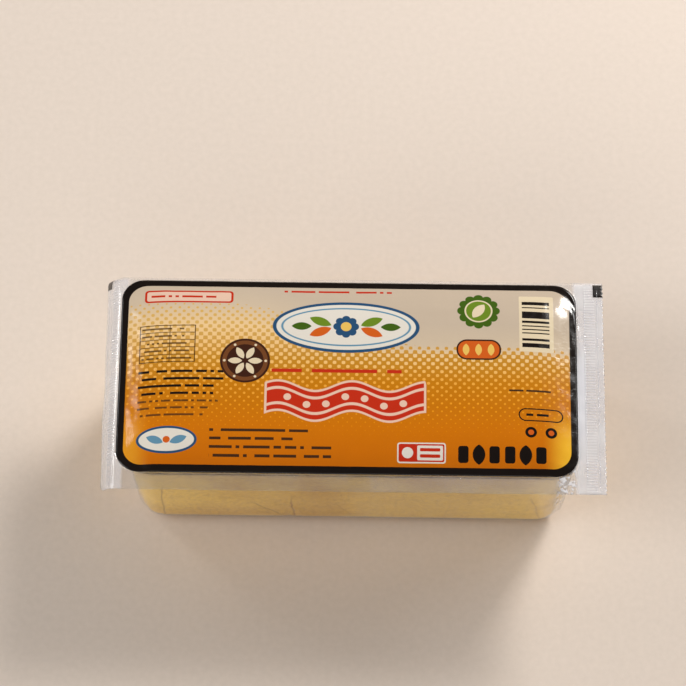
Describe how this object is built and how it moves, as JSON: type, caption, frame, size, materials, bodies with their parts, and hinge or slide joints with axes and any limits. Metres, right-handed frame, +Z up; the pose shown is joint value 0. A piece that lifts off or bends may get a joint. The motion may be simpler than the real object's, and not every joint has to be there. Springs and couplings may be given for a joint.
{
  "type": "vacuum-packed butter block",
  "caption": "Rectangular block of butter in a clear vacuum-formed film tray, closed by a crowned printed lid film sealed to a flange with saw-tooth ends.",
  "frame": {"origin": "middle of the pack's footprint, on the surface that the tray floor rests on", "axes": "+X along the block, from the folded-down end flange to the flat one; +Y across it, towards the bent-down long flange; +Z up, out of the lid"},
  "size_m": [0.2244, 0.1096, 0.0658],
  "materials": {
    "clear_film": "glossy clear flexible film",
    "butter": "pale yellow butter, softly glossy where the film clings to it",
    "printed_film": "glossy film with a cream to golden print and a black border"
  },
  "bodies": {
    "root": {"filled_tray": "butter", "lid_film": "printed_film"}
  },
  "joints": []
}
